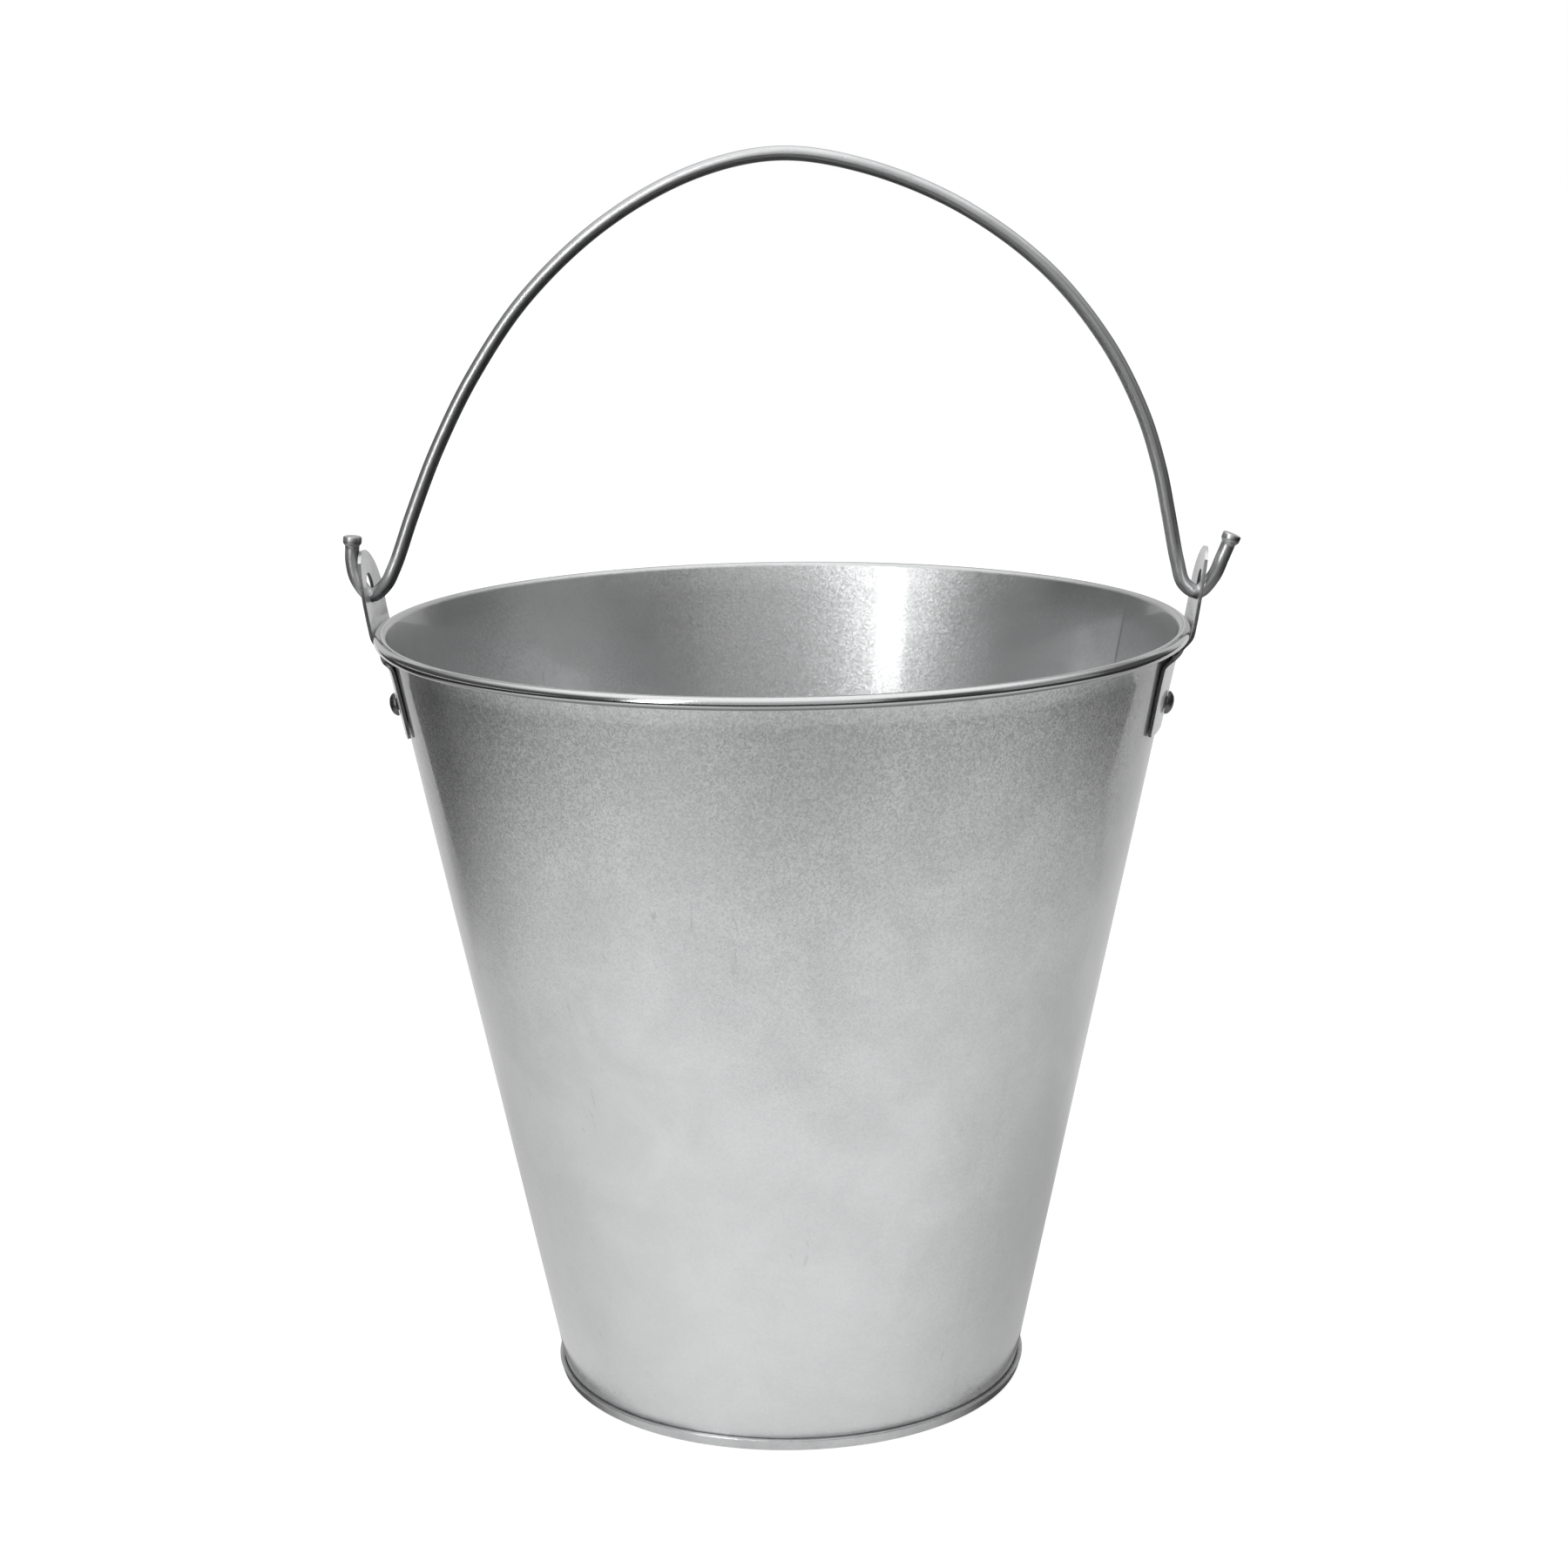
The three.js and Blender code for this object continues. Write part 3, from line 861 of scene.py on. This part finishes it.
def plane(name, half_size, height, material):
    """Level square of the studio, in metres."""
    corners = [(x * half_size, y * half_size, height)
               for x, y in ((-1, -1), (1, -1), (1, 1), (-1, 1))]
    mesh = bpy.data.meshes.new(name)
    mesh.from_pydata(corners, [], [tuple(range(len(corners)))])
    obj = bpy.data.objects.new(name, mesh)
    mesh.materials.append(material)
    bpy.context.scene.collection.objects.link(obj)
    return obj


def build_floor():
    """Plain pale floor that the metal doesn't mirror: the reflected sheet stands in for it."""
    material = bpy.data.materials.new("studio_floor")
    material.use_nodes = True
    shader = material.node_tree.nodes["Principled BSDF"]
    shader.inputs["Base Color"].default_value = (0.3, 0.3, 0.3, 1)
    shader.inputs["Roughness"].default_value = 0.9
    shader.inputs["Specular IOR Level"].default_value = 0.0
    shader.inputs["Emission Color"].default_value = (1, 1, 1, 1)
    shader.inputs["Emission Strength"].default_value = 0.88
    floor = plane("floor", half_size=12, height=0, material=material)
    floor.visible_glossy = False


# Dimmer patches of the sheet: centre [x, y], inner and outer radius in metres, brightness.
dim_patches = (
    ((0.05, -0.53), 0.05, 0.32, 0.55),     # in front of the bucket
    ((0.12, 0.05), 0.04, 0.22, 0.62),      # close by the foot, right
    ((-0.13, 0.06), 0.04, 0.23, 0.78),     # close by the foot, left
    ((-0.45, 0.27), 0.03, 0.17, 0.4),      # far left, towards the back
    ((-0.43, 0.07), 0.03, 0.17, 0.72),     # far left
)


def sheet_brightness(n):
    """The white sheet under the bucket, as the metal sees it: bright near, dark beyond."""
    axes = n.axes(n.add("ShaderNodeTexCoord").outputs["Object"])
    x, y = axes["X"], axes["Y"]

    def distance_from(cx, cy):
        return n.length(n.math("SUBTRACT", x, cx), n.math("SUBTRACT", y, cy))

    disc = n.ramp(distance_from(0.02, 0.0), 0.39, 0.63, 1, 0)
    half_width = n.math("ADD", n.math("MULTIPLY", y, 0.57), 0.31)
    inside = n.math("SUBTRACT", half_width, n.math("ABSOLUTE", n.math("SUBTRACT", x, 0.05)))
    back = n.math("MULTIPLY", n.ramp(inside, -0.004, 0.012), n.ramp(y, 0.15, 0.3))

    light = n.ramp(y, -0.2, 0.22, 1.0, 0.68)                        # lit from the front
    light = n.math("MULTIPLY", light, n.ramp(x, 0.05, 0.3, 1.0, 0.91))
    for centre, inner, outer, level in dim_patches:
        light = n.math("MULTIPLY", light, n.ramp(distance_from(*centre), inner, outer, level, 1.0))
    contact = n.ramp(distance_from(0.0, 0.0), 0.078, 0.082, 0.9, 0.0)
    contact = n.math("MULTIPLY", contact, n.ramp(y, -0.068, -0.035))
    light = n.math("MULTIPLY", light, n.math("SUBTRACT", 1.0, contact))
    return n.math("ADD", n.math("MULTIPLY", n.math("MAXIMUM", disc, back), light), 0.03)


def build_reflected_sheet():
    """Sheet just under the floor that only reflections see."""
    glow = emission("reflected_sheet", sheet_brightness)
    sheet = plane("reflected_sheet", half_size=4, height=-0.6 * MM, material=glow)
    sheet.visible_camera = False
    sheet.visible_diffuse = False
    sheet.visible_shadow = False


def build_world():
    """Soft boxes and backdrops by direction, as reflections see them; white to the camera."""
    world = bpy.data.worlds.new("studio")
    bpy.context.scene.world = world
    world.use_nodes = True
    tree = world.node_tree
    tree.nodes.clear()
    n = Nodes(tree)
    direction = n.add("ShaderNodeTexCoord").outputs["Generated"]
    axes = n.axes(direction)
    x, y, z = axes["X"], axes["Y"], axes["Z"]
    elevation = n.math("MULTIPLY", n.math("ARCSINE", z), 180 / math.pi)
    azimuth = n.math("MULTIPLY", n.math("ARCTAN2", x, n.math("MULTIPLY", y, -1.0)), 180 / math.pi)

    def window(value, low, high, soft):
        rise = n.ramp(value, low - soft, low + soft)
        fall = n.ramp(value, high - soft, high + soft, 1, 0)
        return n.math("MULTIPLY", rise, fall)

    def box(az_low, az_high, el_low, el_high, soft_az, soft_el, strength):
        both = n.math("MULTIPLY", window(azimuth, az_low, az_high, soft_az),
                      window(elevation, el_low, el_high, soft_el))
        return n.math("MULTIPLY", both, strength)

    # In degrees: azimuth from the front (-Y) round to +X, elevation, and how soft the edges are.
    level = n.ramp(elevation, 22, 62, 0.08, 1.2)
    for light in (
        box(-37.5, -28, -12, 46, 1, 3, 7.0),      # tall strip light, front left
        box(-33, 30, -5, 40, 4, 3, 0.42),         # its softer neighbour
        box(64, 100, 2, 30, 3, 5, 0.22),          # side panel, right
        box(-128, -62, -17, 0, 6, 3, 0.9),        # low side panel, left
        box(138, 180.1, -14, 30, 4, 4, 0.5),      # white backdrop, right half
        box(-180.1, -138, -14, 30, 4, 4, 0.5),    # white backdrop, left half
    ):
        level = n.math("ADD", level, light)
    seen = n.add("ShaderNodeLightPath").outputs["Is Camera Ray"]
    strength = n.math("ADD", n.math("MULTIPLY", level, n.math("SUBTRACT", 1.0, seen)), seen)
    shader = n.add("ShaderNodeBackground", inputs={"Color": (1, 1, 1, 1)})
    n.feed(shader.inputs["Strength"], strength)
    out = n.add("ShaderNodeOutputWorld")
    tree.links.new(shader.outputs[0], out.inputs["Surface"])


def build_camera():
    """Camera at the photo's height and angle, a few degrees round from the front."""
    pitch, turn, roll = math.radians(12.687), math.radians(3), math.radians(-0.722)
    ahead = Vector((-math.sin(turn) * math.cos(pitch), math.cos(turn) * math.cos(pitch),
                    -math.sin(pitch)))
    right = Vector((math.cos(turn), math.sin(turn), 0))
    up = right.cross(ahead)
    right_rolled = right * math.cos(roll) + up * math.sin(roll)
    up_rolled = up * math.cos(roll) - right * math.sin(roll)
    data = bpy.data.cameras.new("camera")
    data.sensor_width = 36
    data.lens = 68.77
    stand = Vector((47.7, -910.4, 394.95)) * MM
    camera = bpy.data.objects.new("camera", data)
    axes = Matrix((right_rolled, up_rolled, -ahead)).transposed()
    camera.matrix_world = Matrix.Translation(stand) @ axes.to_4x4()
    bpy.context.scene.collection.objects.link(camera)
    bpy.context.scene.camera = camera


build_camera()
build_body()
build_rim_wire()
build_pan()
build_ear("ear_right", half_turn=False)
build_ear("ear_left", half_turn=True)
build_rivet("rivet_right_front", -rivet_spread, seed=1)
build_rivet("rivet_right_back", rivet_spread, seed=2)
build_rivet("rivet_left_front", 180 + rivet_spread, seed=3)
build_rivet("rivet_left_back", 180 - rivet_spread, seed=4)
build_bail()
build_floor()
build_reflected_sheet()
build_world()
bpy.context.scene.view_settings.view_transform = "Standard"
bpy.context.view_layer.update()
